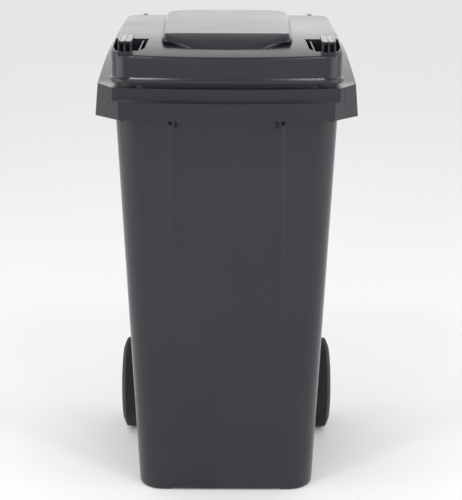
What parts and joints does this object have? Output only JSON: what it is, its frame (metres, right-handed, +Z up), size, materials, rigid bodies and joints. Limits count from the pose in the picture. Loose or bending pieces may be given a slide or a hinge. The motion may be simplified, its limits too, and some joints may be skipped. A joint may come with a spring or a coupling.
{
  "type": "wheelie bin",
  "caption": "Two-wheeled refuse bin with a hinged lid, lifting rim, rear handle bar and rubber-tyred wheels.",
  "frame": {"origin": "centre of the footprint, on the ground", "axes": "+Z up, +Y towards the rear where the wheels and handle are, +X to the right when seen from the front"},
  "size_m": [0.483, 0.55, 0.931],
  "materials": {
    "grey_plastic": "satin moulded polyethylene",
    "black_plastic": "satin moulded",
    "tyre_rubber": "matt",
    "zinc_steel": "zinc plated"
  },
  "bodies": {
    "bin": {"body": "grey_plastic", "hinge_pin_left": "grey_plastic", "hinge_pin_right": "grey_plastic"},
    "lid": {"lid": "grey_plastic"},
    "axle": {"axle": "zinc_steel", "spacer_left": "black_plastic", "spacer_right": "black_plastic"},
    "wheel_left": {"wheel_rim_left": "black_plastic", "tyre_left": "tyre_rubber", "hub_cap_left": "black_plastic", "spring_plug_left": "black_plastic", "locking_spring_left": "zinc_steel"},
    "lock_left": {"locking_pin_left": "zinc_steel"},
    "wheel_right": {"wheel_rim_right": "black_plastic", "tyre_right": "tyre_rubber", "hub_cap_right": "black_plastic", "spring_plug_right": "black_plastic", "locking_spring_right": "zinc_steel"},
    "lock_right": {"locking_pin_right": "zinc_steel"}
  },
  "joints": [
    {"name": "lid_hinge", "type": "hinge", "parent": "bin", "child": "lid", "pos_m": [0, 0.253, 0.892], "axis": [-1, 0, 0], "range_deg": [0, 270]},
    {"name": "axle_spin", "type": "hinge", "parent": "bin", "child": "axle", "pos_m": [0, 0.172, 0.1], "axis": [1, 0, 0], "continuous": true},
    {"name": "wheel_left_spin", "type": "hinge", "parent": "axle", "child": "wheel_left", "pos_m": [-0.209, 0.172, 0.1], "axis": [1, 0, 0], "continuous": true},
    {"name": "lock_left_lift", "type": "slide", "parent": "wheel_left", "child": "lock_left", "axis": [0, 0, 1], "range_m": [0, 0.003], "stiffness_N_per_m": 300},
    {"name": "wheel_right_spin", "type": "hinge", "parent": "axle", "child": "wheel_right", "pos_m": [0.209, 0.172, 0.1], "axis": [1, 0, 0], "continuous": true},
    {"name": "lock_right_lift", "type": "slide", "parent": "wheel_right", "child": "lock_right", "axis": [0, 0, 1], "range_m": [0, 0.003], "stiffness_N_per_m": 300}
  ]
}
